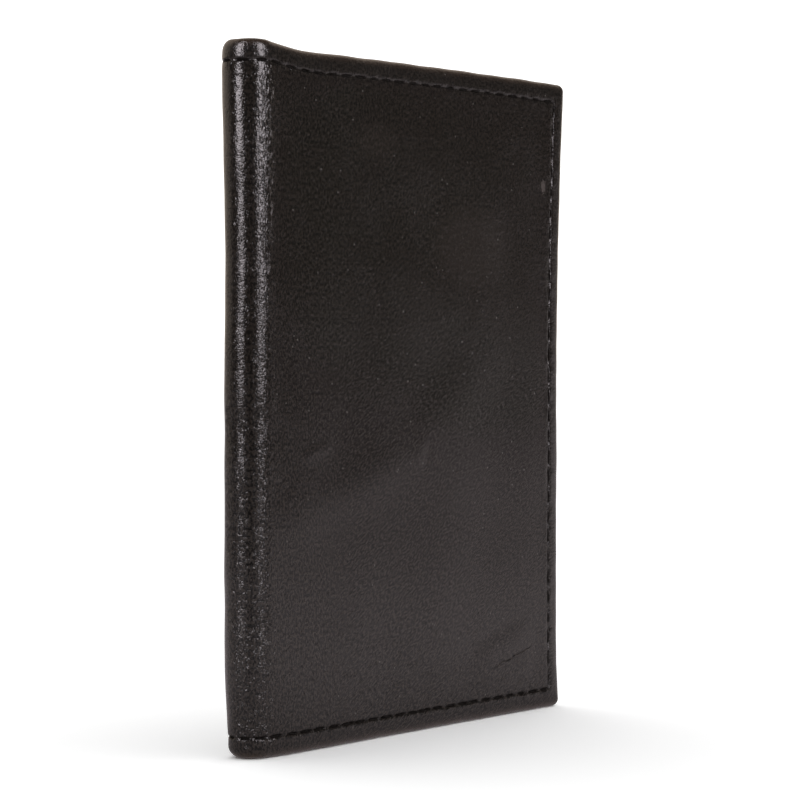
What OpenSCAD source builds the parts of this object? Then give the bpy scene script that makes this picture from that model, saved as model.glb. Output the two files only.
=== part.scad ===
// A leather pass holder that folds like a book: two covers joined by a round fold, with a clear
// window pocket inside each. It stands on its bottom edge, closed, with the fold at the left.
// Sizes are in millimetres. +Z is up, +Y goes from the front cover to the back cover, and the
// origin is in the middle of the resting edge.

/* [Covers] */
// Height of the covers, from the resting edge to the top edge
cover_h = 102; // [92:1:130]
// Width of each flat cover, from the end of the fold to the fore-edge
cover_w = 75.5; // [68:0.5:100]
// Radius of the corners at the fore-edge
corner_r = 1.5; // [1:0.5:5]
// How far the top edge rises over the fold
spine_rise = 1; // [0:0.1:2]
// Length of cover over which that rise eases away
rise_run = 6.4; // [4:0.2:12]

/* [Layers] */
// Thickness of the outer leather
leather_t = 0.9; // [0.7:0.05:1.3]
// Thickness of the stiffener boards and of the spine's reinforcement
board_t = 0.5; // [0.3:0.05:1]
// Thickness of the lining
lining_t = 0.25; // [0.15:0.05:0.5]
// Thickness of the turned hem, which is thinned before it is folded in
hem_t = 0.75; // [0.5:0.05:1]
// Width of the turned hem
hem_w = 7; // [5:0.5:9]
// Thickness of the clear window sheets
window_t = 0.25; // [0.2:0.05:0.5]
// Thickness of the leather window frames
frame_t = 0.8; // [0.6:0.05:1.2]
// Space between the two window frames when the holder is shut
face_gap = 0.4; // [0.3:0.1:2]

/* [Pockets] */
// Width of the window opening
opening_w = 50; // [40:1:52]
// Height of the window opening
opening_h = 80; // [60:1:82]
// Radius of the window opening's corners
opening_r = 4; // [1:0.5:8]
// Radius of the half-round thumb notch in each pocket's open edge
notch_r = 7; // [5:0.5:8]
// Width of leather between the outer edge and the window frame
frame_inset = 0.9; // [0.5:0.1:1.5]
// Distance from the end of the fold to each pocket's open edge
mouth_inset = 1.5; // [1:0.1:3]

/* [Stitching] */
// Distance from the outer edge to the line of stitches
stitch_inset = 3.1; // [2.4:0.1:3.5]
// Distance from one stitch to the next
stitch_pitch = 3.3; // [2.6:0.1:4.5]
// Thickness of the thread
thread_d = 0.44; // [0.3:0.02:0.5]
// Distance from the window opening, or from a pocket's open edge, to its line of stitches
window_stitch_inset = 1.8; // [1.5:0.1:2]

/* [Hidden] */

// Clearances between pieces
layer_gap = 0.02; // between two layers that lie on each other
split_gap = 0.04; // between two lengths of the fold that move apart
thread_gap = 0.03; // between the thread and the bottom of its groove
edge_gap = 0.1; // between a layer's edge and the turned leather round it
overrun = 1; // how far a cut runs past what it cuts
groove_d = 0.3; // depth of the groove that the outer stitches lie in

// Depths below the outer face, from the outside inwards
board_d = leather_t + layer_gap;
lining_d = board_d + board_t + layer_gap;
hem_d = lining_d + lining_t + layer_gap;
hem_face_d = hem_d + hem_t;
window_d = hem_face_d + layer_gap;
frame_d = window_d + window_t + layer_gap;
frame_face_d = frame_d + frame_t;

// The fold is half a circle, and the two outer faces are its diameter apart
fold_r = frame_face_d + face_gap / 2;
fold_half = fold_r * PI / 2; // half of the fold's length round its outside
split_angle = 45; // the fold's two hinge lines lie at this angle on each side of its middle
split_at = fold_r * PI * split_angle / 180;
thread_r = thread_d / 2;
outer_thread_d = groove_d - thread_gap - thread_r; // depth of the thread's middle, outside
proud_d = thread_r - outer_thread_d; // how far the thread stands out of the leather
fold_x = (fold_r + proud_d - cover_w) / 2; // the fold's axis, with the whole holder centred
fore_x = fold_x + cover_w;
fold_steps = 3; // chords in each 45 degrees of the fold
rise_steps = 5; // chords in the rise of the top edge
corner_steps = 5; // chords in a corner
rim_steps = 7; // chords round the turned edge, an odd number so that one is a flat to stand on
small_r = 0.4; // smallest radius of a corner inside the turned edge

// The stitches
stitch_share = 0.78; // visible length of a stitch, as a share of the pitch
thread_taper = thread_r / 2; // length of a stitch's narrowed end
thread_tip_share = 0.6; // radius of that end, as a share of the thread's
groove_half = 0.65; // half the width of the outer groove at its top
inner_groove_d = 0.4; // depth of the grooves in the window frames
inner_groove_half = 0.4;
thread_fn = 16;
inner_thread_d = frame_face_d - inner_groove_d + thread_gap + thread_r; // thread's middle, inside

// The outer face meets its panel this far in from the edge, past the groove
panel_inset = stitch_inset + groove_half + small_r;

leather_colour = [0.13, 0.115, 0.105];
lining_colour = [0.09, 0.085, 0.085];
board_colour = [0.42, 0.37, 0.3];
window_colour = [0.8, 0.84, 0.86, 0.45];
thread_colour = [0.05, 0.045, 0.045];

// Smooth step from 0 to 1
function ease(t) = let(u = min(1, max(0, t))) u * u * (3 - 2 * u);

// Height of the top edge at a distance s round the leather from the middle of the fold
function top_z(s) = cover_h + spine_rise * ease(1 - (abs(s) - fold_half) / rise_run);

// Where the folded leather puts a point that is s round from the middle of the fold, at height z
// and at depth d. The front cover has s above 0.
function folded(s, z, d) = let(r = fold_r - d, a = s / fold_r * 180 / PI)
    abs(s) <= fold_half
        ? [fold_x - r * cos(a), -r * sin(a), z]
        : [fold_x + abs(s) - fold_half, -sign(s) * r, z];

// Distances round the leather: over the fold's part of a cover, and over the rise beside it
function fold_stops() = [for (i = [0:fold_steps])
    i == 0 ? split_at + split_gap / 2 : split_at + (fold_half - split_at) * i / fold_steps];
function rise_stops() = [for (i = [1:rise_steps]) fold_half + rise_run * i / rise_steps];

// The turned edge in section, as [distance in from the edge, depth]: its outer side, from the
// panel over the groove and round the rim to the hem's end, and its inner side, which follows it
// point by point round the space for the board and the lining
rim_r = hem_face_d / 2;
rim_flat = rim_r * (1 - cos(90 / rim_steps));
pocket_r = (hem_d - leather_t) / 2; // radius of that space where the leather turns
groove_stops = [2, 1, 0, -1, -2];
edge_outer = concat(
    [[panel_inset, 0]],
    [for (i = groove_stops) [stitch_inset + groove_half * i / 2, groove_d * (1 - i * i / 4)]],
    [for (i = [0:rim_steps]) let(a = 180 * i / rim_steps)
        [rim_r * (1 - sin(a)) - rim_flat, rim_r * (1 - cos(a))]],
    [[hem_w, hem_face_d]]);
edge_inner = concat(
    [[panel_inset, leather_t]],
    [for (i = groove_stops) [stitch_inset + groove_half * i / 2, leather_t]],
    [for (i = [0:rim_steps]) let(a = 180 * i / rim_steps)
        [rim_r - pocket_r * sin(a), leather_t + pocket_r * (1 - cos(a))]],
    [[hem_w, hem_d]]);
function reversed(list) = [for (i = [len(list) - 1:-1:0]) list[i]];
edge_section = concat(edge_outer, reversed(edge_inner));
edge_faces = [for (i = [0:len(edge_outer) - 2]) let(a = i, b = len(edge_section) - 1 - i)
    for (f = [[a, a + 1, b - 1], [a, b - 1, b]]) f];
layer_inset = rim_r + edge_gap; // edge of the board and the lining

// One line along the turned edge at the distance e in from it and the depth d: over the top from
// the fold, round the top corner, down the fore-edge, round the bottom corner and back
function corner(e, r, a0, top) = [for (i = [0:corner_steps]) let(a = a0 - 90 * i / corner_steps)
    [fold_half + cover_w - e - r + r * cos(a), (top ? cover_h - e - r : e + r) + r * sin(a)]];
function edge_line(e, d, side) = let(
    r = max(small_r, corner_r - e),
    stops = concat(fold_stops(), rise_stops()),
    run = concat([for (s = stops) [s, top_z(s) - e]], corner(e, r, 90, true),
        corner(e, r, 0, false), [for (i = [len(stops) - 1:-1:0]) [stops[i], e]]))
    [for (p = run) folded(side * p[0], p[1], d)];

// A cover's outer leather with its turned edge, as one closed skin. Strips join the matching
// points above and below across the panel, and a flat face closes it at the fore-edge.
module turned_cover(side) {
    m = len(edge_section);
    stop_count = fold_steps + 1 + rise_steps;
    n = 2 * stop_count + 2 * (corner_steps + 1);
    lines = [for (q = edge_section) edge_line(q[0], q[1], side)];
    points = [for (line = lines) for (p = line) p];
    skin = [for (j = [0:m - 2]) for (k = [0:n - 2]) let(a = j * n + k, b = a + n)
        for (f = [[a, a + 1, b + 1], [a, b + 1, b]]) f];
    panels = [for (j = [0, m - 1]) for (k = [0:stop_count - 2]) let(a = j * n)
        for (f = [[a + k, a + n - 1 - k, a + n - 2 - k], [a + k, a + n - 2 - k, a + k + 1]])
        j == 0 ? f : reversed(f)];
    ends = [for (j = [0, m - 1]) let(f = [for (k = [stop_count - 1:n - stop_count]) j * n + k])
        j == 0 ? reversed(f) : f];
    last = (m - 1) * n;
    split = concat([for (f = edge_faces) f * n],
        [for (f = edge_faces) reversed(f) * n + [n - 1, n - 1, n - 1]],
        [[last, last + n - 1, n - 1], [last, n - 1, 0]]);
    faces = concat(skin, panels, ends, split);
    polyhedron(points, side > 0 ? faces : [for (f = faces) reversed(f)], convexity = 8);
}

// A solid swept round the fold: outline is a list of [height rule, distance in from the edge,
// depth], with the height rule 1 at the top edge and 0 at the bottom edge, and end_faces are the
// triangles that fill it
module swept(stops, outline, end_faces) {
    n = len(outline);
    points = [for (s = stops) for (q = outline)
        folded(s, q[0] == 1 ? top_z(s) - q[1] : q[1], q[2])];
    skin = [for (k = [0:len(stops) - 2]) for (j = [0:n - 1])
        let(a = k * n + j, b = k * n + (j + 1) % n)
        for (f = [[a, b, b + n], [a, b + n, a + n]]) f];
    last = (len(stops) - 1) * n;
    polyhedron(points, concat(skin, [for (f = end_faces) reversed(f)],
        [for (f = end_faces) f + [last, last, last]]), convexity = 8);
}

// A thin strip round the fold between two depths
module fold_strip(stops, inset, d, t) {
    swept(stops, [[0, inset, d], [1, inset, d], [1, inset, d + t], [0, inset, d + t]],
        [[0, 1, 2], [0, 2, 3]]);
}

function spine_stops() = let(last = split_at - split_gap / 2)
    [for (i = [-fold_steps:fold_steps]) abs(i) == fold_steps ? sign(i) * last
        : split_at * i / fold_steps];
// A cover's stops run from the fold to the end of a flat sheet, in the order that keeps the
// swept faces outwards on both sides
function sheet_stops(side, end) = let(list = concat(fold_stops(), rise_stops(), [end]))
    side > 0 ? list : reversed([for (s = list) -s]);

// Outline of a flat sheet with rounded corners, from its low corner to its high one
function round_box(x0, z0, x1, z1, r, steps) = [
    for (c = [[x1 - r, z1 - r, 0], [x0 + r, z1 - r, 90], [x0 + r, z0 + r, 180], [x1 - r, z0 + r, 270]])
        for (i = [0:steps]) [c[0] + r * cos(c[2] + 90 * i / steps), c[1] + r * sin(c[2] + 90 * i / steps)]];

// Stands a flat outline up as a sheet between two depths of one cover
module sheet(side, d, t) {
    y = side > 0 ? -(fold_r - d) : fold_r - d - t;
    translate([0, y + t, 0])
        rotate([90, 0, 0])
            linear_extrude(height = t)
                children();
}

// Places inside the covers
mouth_x = fold_x + mouth_inset;
frame_fore_x = fore_x - frame_inset;
frame_top_z = cover_h - frame_inset;
opening_x = (mouth_x + frame_fore_x) / 2; // the window opening's middle
opening_z = cover_h / 2;
opening_left = opening_x - opening_w / 2;
opening_right = opening_x + opening_w / 2;
opening_low = opening_z - opening_h / 2;
opening_high = opening_z + opening_h / 2;
board_r = corner_r - leather_t > small_r ? corner_r - leather_t : small_r;
board_start = 0.8; // how far the boards stop short of the fold
sheet_step = 0.4; // how far the clear sheet stops short of its frame's edges

// A straight stitch between two needle holes
module stitch(p, q) {
    v = q - p;
    whole = norm(v);
    length = whole * stitch_share;
    translate(p + v * (1 - stitch_share) / 2)
        rotate([0, acos(v[2] / whole), atan2(v[1], v[0])])
            rotate_extrude($fn = thread_fn)
                polygon([[0, 0], [thread_r * thread_tip_share, 0], [thread_r, thread_taper],
                    [thread_r, length - thread_taper], [thread_r * thread_tip_share, length],
                    [0, length]]);
}

// A row of stitches between two places on a cover, at a depth
module stitch_row(side, from, to, d) {
    count = round(norm(to - from) / stitch_pitch);
    for (i = [0:count - 1]) {
        a = from + (to - from) * i / count;
        b = from + (to - from) * (i + 1) / count;
        stitch(folded(side * (a[0] - fold_x + fold_half), a[1], d),
            folded(side * (b[0] - fold_x + fold_half), b[1], d));
    }
}

// The same along the top edge, where the row follows the rise beside the fold
module top_row(side, x0, x1, d) {
    count = round((x1 - x0) / stitch_pitch);
    for (i = [0:count - 1]) {
        a = x0 + (x1 - x0) * i / count - fold_x + fold_half;
        b = x0 + (x1 - x0) * (i + 1) / count - fold_x + fold_half;
        stitch(folded(side * a, top_z(a) - stitch_inset, d), folded(side * b, top_z(b) - stitch_inset, d));
    }
}

// A stitch that bends round the fold between two angles from the fold's middle
module fold_stitch(a0, a1, z, d) {
    middle = (a0 + a1) / 2;
    span = (a1 - a0) * stitch_share;
    translate([fold_x, 0, z])
        rotate([0, 0, 180 + middle - span / 2])
            rotate_extrude(angle = span, $fn = thread_fn * 4)
                translate([fold_r - d, 0])
                    circle(r = thread_r, $fn = thread_fn);
}

// The stitches on both faces of one length of the fold
module fold_stitches(angles, d) {
    for (pair = angles)
        for (z = [stitch_inset, cover_h + spine_rise - stitch_inset])
            fold_stitch(pair[0], pair[1], z, d);
}

// The needle's line on the inner face of the hem, which shows inside the fold
hem_thread_d = hem_face_d + thread_gap + thread_r;

module outer_leather(side) {
    color(leather_colour) turned_cover(side);
}

module stiffener_board(side) {
    color(board_colour) sheet(side, board_d, board_t)
        polygon(round_box(fold_x + board_start, layer_inset, fore_x - layer_inset,
            cover_h - layer_inset, board_r, corner_steps));
}

module lining(side) {
    color(lining_colour) fold_strip(sheet_stops(side, fold_half + cover_w - layer_inset),
        layer_inset, lining_d, lining_t);
}

module window_sheet(side) {
    color(window_colour) sheet(side, window_d, window_t)
        difference() {
            polygon(round_box(mouth_x + sheet_step, frame_inset + sheet_step, frame_fore_x - sheet_step,
                frame_top_z - sheet_step, board_r, corner_steps));
            translate([mouth_x + sheet_step, opening_z])
                circle(r = notch_r, $fn = 64);
        }
}

module window_frame(side) {
    color(leather_colour) difference() {
        sheet(side, frame_d, frame_t)
            difference() {
                polygon(round_box(mouth_x, frame_inset, frame_fore_x, frame_top_z, board_r, corner_steps));
                polygon(round_box(opening_left, opening_low, opening_right, opening_high, opening_r,
                    corner_steps));
                translate([mouth_x, opening_z])
                    circle(r = notch_r, $fn = 64);
            }
        frame_grooves(side);
    }
}

// The grooves in a window frame's inner face, where its three lines of stitches lie
module frame_grooves(side) {
    h = inner_groove_half;
    d = frame_face_d - inner_groove_d;
    edge = window_stitch_inset;
    sheet(side, d, inner_groove_d + overrun) {
        difference() {
            polygon(round_box(mouth_x - overrun, stitch_inset - h, fore_x - stitch_inset + h,
                cover_h - stitch_inset + h, small_r, 1));
            polygon(round_box(mouth_x - 2 * overrun, stitch_inset + h, fore_x - stitch_inset - h,
                cover_h - stitch_inset - h, small_r, 1));
        }
        difference() {
            polygon(round_box(opening_left - edge - h, opening_low - edge - h, opening_right + edge + h,
                opening_high + edge + h, small_r, 1));
            polygon(round_box(opening_left - edge + h, opening_low - edge + h, opening_right + edge - h,
                opening_high + edge - h, small_r, 1));
        }
        translate([mouth_x + edge - h, stitch_inset])
            square([2 * h, cover_h - 2 * stitch_inset]);
    }
}

module edge_stitching(side) {
    low = stitch_inset;
    high = cover_h - stitch_inset;
    end = fore_x - stitch_inset;
    color(thread_colour) {
        top_row(side, fold_x, end, outer_thread_d);
        stitch_row(side, [end, high], [end, low], outer_thread_d);
        stitch_row(side, [end, low], [fold_x, low], outer_thread_d);
        stitch_row(side, [mouth_x, high], [end, high], inner_thread_d);
        stitch_row(side, [end, high], [end, low], inner_thread_d);
        stitch_row(side, [end, low], [mouth_x, low], inner_thread_d);
        fold_stitches([side > 0 ? [split_angle, 90] : [-90, -split_angle]], outer_thread_d);
        fold_stitches([side > 0 ? [split_angle, 90] : [-90, -split_angle]], hem_thread_d);
    }
}

module window_stitching(side) {
    e = window_stitch_inset;
    x0 = opening_left - e;
    x1 = opening_right + e;
    z0 = opening_low - e;
    z1 = opening_high + e;
    corners = [[x0, z0], [x1, z0], [x1, z1], [x0, z1]];
    color(thread_colour)
        for (i = [0:3])
            stitch_row(side, corners[i], corners[(i + 1) % 4], inner_thread_d);
}

module pocket_stitching(side) {
    x = mouth_x + window_stitch_inset;
    rows = [[stitch_inset + stitch_pitch / 2, opening_z - notch_r - thread_r],
        [opening_z + notch_r + thread_r, cover_h - stitch_inset - stitch_pitch / 2]];
    color(thread_colour)
        for (row = rows)
            stitch_row(side, [x, row[0]], [x, row[1]], inner_thread_d);
}

module spine_leather() {
    upper = [for (q = edge_section) [1, q[0], q[1]]];
    lower = [for (q = edge_section) [0, q[0], q[1]]];
    m = len(edge_section);
    end_faces = concat([for (f = edge_faces) [m - 1, m - 1, m - 1] - reversed(f)],
        [for (f = edge_faces) f + [m, m, m]], [[m - 1, m, 2 * m - 1], [m - 1, 2 * m - 1, 0]]);
    color(leather_colour) swept(spine_stops(), concat(reversed(upper), lower), end_faces);
}

module spine_reinforcement() {
    color(board_colour) fold_strip(spine_stops(), layer_inset, board_d, board_t);
}

module spine_lining() {
    color(lining_colour) fold_strip(spine_stops(), layer_inset, lining_d, lining_t);
}

module spine_stitching() {
    color(thread_colour) {
        fold_stitches([[-split_angle, 0], [0, split_angle]], outer_thread_d);
        fold_stitches([[-split_angle, 0], [0, split_angle]], hem_thread_d);
    }
}

outer_leather(1);  // front_outer_leather
stiffener_board(1);  // front_stiffener_board
lining(1);  // front_lining
window_sheet(1);  // front_window_sheet
window_frame(1);  // front_window_frame
edge_stitching(1);  // front_edge_stitching
window_stitching(1);  // front_window_stitching
pocket_stitching(1);  // front_pocket_stitching
spine_leather();
spine_reinforcement();
spine_lining();
spine_stitching();
outer_leather(-1);  // back_outer_leather
stiffener_board(-1);  // back_stiffener_board
lining(-1);  // back_lining
window_sheet(-1);  // back_window_sheet
window_frame(-1);  // back_window_frame
edge_stitching(-1);  // back_edge_stitching
window_stitching(-1);  // back_window_stitching
pocket_stitching(-1);  // back_pocket_stitching
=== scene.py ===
import math

import bpy
import numpy as np
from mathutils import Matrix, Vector


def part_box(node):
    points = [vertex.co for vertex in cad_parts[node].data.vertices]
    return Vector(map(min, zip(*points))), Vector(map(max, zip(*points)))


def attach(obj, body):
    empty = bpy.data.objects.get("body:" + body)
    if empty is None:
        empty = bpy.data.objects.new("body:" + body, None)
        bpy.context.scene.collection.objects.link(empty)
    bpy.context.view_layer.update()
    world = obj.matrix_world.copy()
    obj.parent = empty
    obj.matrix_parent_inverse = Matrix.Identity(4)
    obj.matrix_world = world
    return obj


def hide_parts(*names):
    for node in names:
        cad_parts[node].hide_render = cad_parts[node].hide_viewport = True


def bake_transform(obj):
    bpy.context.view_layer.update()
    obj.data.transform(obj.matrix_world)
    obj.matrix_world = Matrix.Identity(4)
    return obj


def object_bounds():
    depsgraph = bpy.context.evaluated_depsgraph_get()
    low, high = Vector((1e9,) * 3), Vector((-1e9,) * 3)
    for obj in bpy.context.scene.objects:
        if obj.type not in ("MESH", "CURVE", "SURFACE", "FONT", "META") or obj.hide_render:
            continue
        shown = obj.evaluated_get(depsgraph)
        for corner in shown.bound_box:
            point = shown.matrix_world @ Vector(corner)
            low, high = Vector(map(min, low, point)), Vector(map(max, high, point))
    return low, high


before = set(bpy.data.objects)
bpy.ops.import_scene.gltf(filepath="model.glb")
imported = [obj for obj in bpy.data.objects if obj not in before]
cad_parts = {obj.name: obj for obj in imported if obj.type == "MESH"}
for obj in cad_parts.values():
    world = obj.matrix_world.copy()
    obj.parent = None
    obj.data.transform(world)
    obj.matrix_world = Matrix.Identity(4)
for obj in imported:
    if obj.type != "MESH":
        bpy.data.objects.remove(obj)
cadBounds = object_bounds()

# A black leather pass holder, shut and standing on its bottom edge, with the fold towards the camera.
# Lengths in the dictionaries are in millimetres, and they become metres where a mesh is written.
# A place on a cover is given as on the flat leather: how far round it is from the middle of the fold,
# how high it is, and how deep it is below the outer face. Side is 1 for the front cover, -1 for the back.
mm = 0.001
front, back = 1, -1
sideNames = {front: "front", back: "back"}


def boxOf(node):
    low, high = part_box(node)
    return np.array(low) / mm, np.array(high) / mm


# Sizes that come from the frame
leatherLow, leatherHigh = boxOf("front_outer_leather")
foldRadius = -leatherLow[1]
foldHalf = foldRadius * math.pi / 2
foldX = boxOf("spine_leather")[0][0] + foldRadius
coverEnd = foldHalf + leatherHigh[0] - foldX  # the fore-edge, measured round from the middle of the fold


def depthOf(node):
    return foldRadius + boxOf(node)[0][1]


def thicknessOf(node):
    low, high = boxOf(node)
    return high[1] - low[1]


# The shape that all the layers share
coverShape = {
    "rise": 0.86,  # how far the top edge stands up over the fold
    "riseRun": 9.0,  # length of cover over which that eases away
    "riseFall": 1.6,  # above 1 it falls fastest beside the fold
    "riseFrom": 0.5,  # it grows from this share of the height, over the next share
    "riseOver": 0.45,
    "dip": 0.15,  # how far the top edge sags past the rise
    "dipAt": 12.0,
    "dipHalf": 3.0,
    "droop": 0.5,  # how far the top corner at the fore-edge hangs
    "curlFrom": 40.0,  # the covers curl outwards from here to the fore-edge
    "curlLevel": 45.0,  # and from this height up
    "curlTop": {front: 1.4, back: 0.5},
    "curlTopGather": 2.3,  # above 1 the curl gathers at the corner
    "curlLow": {front: 0.45, back: 0.25},
    "curlLowLevel": 15.0,
    "curlLowGather": 1.5,
    "waves": 0.07,  # height of the broad soft waves
    "waveLength": 22.0,
    "waveRun": 12.0,  # length beside the fold over which they begin
    "waveSeed": {front: 7, back: 8},
    "foldEaseFrom": 0.6,  # share of the fold from which its own shape eases away over the covers
    "foldEasePast": 2.0,
    "foldPuff": 0.25,  # how far the fold stands out near its top
    "foldPuffAt": 0.94,  # as a share of the height
    "foldWaist": 0.16,  # how far it is drawn in a little lower
    "foldWaistAt": 0.7,
    "foldReach": 9.0,  # half height of both
    "foldEven": 0.4,  # how much evener it is on the front
    "foldEvenRun": 2.5,
    "foldTaper": 0.7,  # how far it is drawn in at its foot
    "foldTaperLevel": 13.0,
    "foldTaperGather": 1.2,
    "foldUneven": 0.05,
    "foldUnevenLength": 9.0,
    "foldUnevenShare": 0.3,  # round the fold it changes at this share of its rate up the fold
    "foldUnevenSeed": 31,
    "footPuff": 0.1,  # how far the edge of the fold stands out below the bottom seam
    "footPuffAt": 1.25,
    "footPuffHalf": 0.75,
    "drawnIn": 0.4,  # how far the seam beside the fore-edge has drawn the leather in
    "drawnHalf": 1.2,
}
coverHeight = float(sum(corner[2] for corner in boxOf("front_window_frame")))


def ease(t):
    u = np.clip(t, 0, 1)
    return u * u * (3 - 2 * u)


def ripple(u, v, length, seed):
    # soft irregular waves between about -1 and 1, summed from a few plain ones
    draw = np.random.default_rng(seed)
    total = np.zeros(np.shape(u))
    count, spread = 6, (0.7, 1.6)
    for step in range(count):
        heading = draw.uniform(0, math.tau)
        wave = length * draw.uniform(*spread)
        phase = draw.uniform(0, math.tau)
        total = total + np.sin((u * math.cos(heading) + v * math.sin(heading)) * math.tau / wave + phase)
    return total / math.sqrt(count * 2)


def bump(t, middle, half):
    return np.exp(-(((t - middle) / half) ** 2))


def nearFore(s):
    # 0 where the curl of the cover begins, and 1 at the fore-edge
    begin = coverShape["curlFrom"]
    return np.clip((s - begin) / (coverEnd - begin), 0, 1) ** 2


def outwards(side, s, z):
    # how far the layers stand out of their plain folded place
    shape = coverShape
    raised = (z - shape["curlLevel"]) / (coverHeight - shape["curlLevel"])
    up = np.clip(raised, 0, 1) ** shape["curlTopGather"]
    low = np.clip(1 - z / shape["curlLowLevel"], 0, 1) ** shape["curlLowGather"]
    curl = (shape["curlTop"][side] * up + shape["curlLow"][side] * low) * nearFore(s)
    overFold = ease(1 - (s - shape["foldEaseFrom"] * foldHalf) / (foldHalf + shape["foldEasePast"]))
    evened = 1 - shape["foldEven"] * ease(s / shape["foldEvenRun"]) if side == front else 1
    puff = shape["foldPuff"] * bump(z, coverHeight * shape["foldPuffAt"], shape["foldReach"])
    waist = shape["foldWaist"] * bump(z, coverHeight * shape["foldWaistAt"], shape["foldReach"])
    taper = shape["foldTaper"] * np.clip(1 - z / shape["foldTaperLevel"], 0, 1) ** shape["foldTaperGather"]
    foot = shape["footPuff"] * bump(z, shape["footPuffAt"], shape["footPuffHalf"])
    uneven = shape["foldUneven"] * ripple(s * shape["foldUnevenShare"], z, shape["foldUnevenLength"],
                                          shape["foldUnevenSeed"])
    fold = (puff - waist) * evened - taper + foot + uneven
    onCover = ease((s - foldHalf) / shape["waveRun"])
    waves = shape["waves"] * onCover * ripple(s, z, shape["waveLength"], shape["waveSeed"][side])
    return curl + overFold * fold + waves


def upwards(s, z):
    shape = coverShape
    past = s - foldHalf
    rise = shape["rise"] * np.clip(1 - past / shape["riseRun"], 0, 1) ** shape["riseFall"]
    rise = np.where(past < 0, shape["rise"], rise)
    rise = rise - shape["dip"] * bump(past, shape["dipAt"], shape["dipHalf"])
    rise = rise * ease((z / coverHeight - shape["riseFrom"]) / shape["riseOver"])
    return rise - shape["droop"] * nearFore(s) * ease(z / coverHeight)


def asFloats(*terms):
    return np.broadcast_arrays(*(np.asarray(term, float) for term in terms))


def place(side, s, z, d):
    # puts points of the flat leather, at their depth, on the folded holder, in metres
    s, z, d = asFloats(s, z, d)
    s = s - coverShape["drawnIn"] * bump(coverEnd - s, seams["inset"], coverShape["drawnHalf"])
    turn = np.minimum(s, foldHalf) / foldRadius
    radius = foldRadius - d + outwards(side, s, z)
    x = foldX - radius * np.cos(turn) + np.maximum(s - foldHalf, 0)
    y = -side * radius * np.sin(turn)
    return np.stack([x, y, z + upwards(s, z)], axis=-1) * mm


# Tools of the bench
def clearSelection():
    bpy.ops.object.select_all(action="DESELECT")


def pick(piece):
    clearSelection()
    piece.select_set(True)
    bpy.context.view_layer.objects.active = piece


def placedObject(name, data):
    made = bpy.data.objects.new(name, data)
    bpy.context.scene.collection.objects.link(made)
    return made


def gridOf(name, columns, rows):
    clearSelection()
    bpy.ops.mesh.primitive_grid_add(x_subdivisions=columns, y_subdivisions=rows, size=1)
    piece = bpy.context.object
    piece.name = piece.data.name = name
    return piece


def moveVertices(piece, points):
    piece.data.vertices.foreach_set("co", np.asarray(points, np.float32).ravel())
    piece.data.update()


def readVertices(piece):
    points = np.empty(len(piece.data.vertices) * 3, np.float32)
    piece.data.vertices.foreach_get("co", points)
    return points.reshape(-1, 3).astype(float)


def setLay(piece, s, z, third=0.0):
    # where each vertex lies on the flat material, in metres, for the grain and the weave
    lay = piece.data.attributes.new("lay", "FLOAT_VECTOR", "POINT")
    points = np.stack(asFloats(s, z, third), axis=-1) * mm
    lay.data.foreach_set("vector", points.astype(np.float32).ravel())


def inEdit(piece, work):
    pick(piece)
    bpy.ops.object.mode_set(mode="EDIT")
    bpy.ops.mesh.select_all(action="SELECT")
    work()
    bpy.ops.object.mode_set(mode="OBJECT")


def applied(piece, kind, **settings):
    modifier = piece.modifiers.new(kind.lower(), kind)
    for key, value in settings.items():
        setattr(modifier, key, value)
    pick(piece)
    bpy.ops.object.modifier_apply(modifier=modifier.name)


def thicken(piece, side, thickness, **settings):
    # the back half is a mirror image, so its faces are turned round first
    if side == back:
        inEdit(piece, bpy.ops.mesh.flip_normals)
    applied(piece, "SOLIDIFY", thickness=thickness * mm, offset=-1, **settings)


def complete(piece, side, slotName, nodes, smoothBelow, bends=True):
    # gives the piece its finish, bakes its place into its mesh if bends is set and else hangs it on its
    # cover's body, and hides the frame's nodes that it stands for; edges that turn by more than smoothBelow,
    # in degrees, stay sharp
    pick(piece)
    bpy.ops.object.shade_smooth_by_angle(angle=math.radians(smoothBelow))
    piece.data.materials.clear()
    piece.data.materials.append(finishes[slotName])
    if bends:
        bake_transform(piece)
    else:
        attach(piece, sideNames[side] + "_cover")
    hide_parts(*nodes)


# The seams, as rows of needle holes on the flat leather
seams = {
    "inset": 3.1,  # from the outer edge
    "pitch": 3.3,
    "windowInset": 1.8,  # from the window opening, and from the pocket's open edge
}


def needleRow(start, end, pitch=seams["pitch"]):
    start, end = np.array(start, float), np.array(end, float)
    count = round(float(np.linalg.norm(end - start)) / pitch)
    return [start + (end - start) * step / count for step in range(count + 1)]


def rowsRound(left, bottom, right, top):
    return [
        needleRow((left, bottom), (right, bottom)),
        needleRow((right, bottom), (right, top)),
        needleRow((left, top), (right, top)),
        needleRow((left, bottom), (left, top)),
    ]


seamEnd = coverEnd - seams["inset"]
seamTop = coverHeight - seams["inset"]
foldRows = [needleRow((0, z), (foldHalf, z), foldHalf / 2) for z in (seams["inset"], seamTop)]
coverRows = rowsRound(foldHalf, seams["inset"], seamEnd, seamTop)[:3]  # open beside the fold
needleHoles = np.array([hole for row in foldRows + coverRows for hole in row])


# Materials
def maths(operation, turned=False):
    # a method that feeds its wire and what follows to a Math node, and its wire last if turned
    def work(self, *others):
        terms = (*others, self) if turned else (self, *others)
        return self.finish.node("ShaderNodeMath", {"operation": operation}, dict(enumerate(terms)))

    return work


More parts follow.
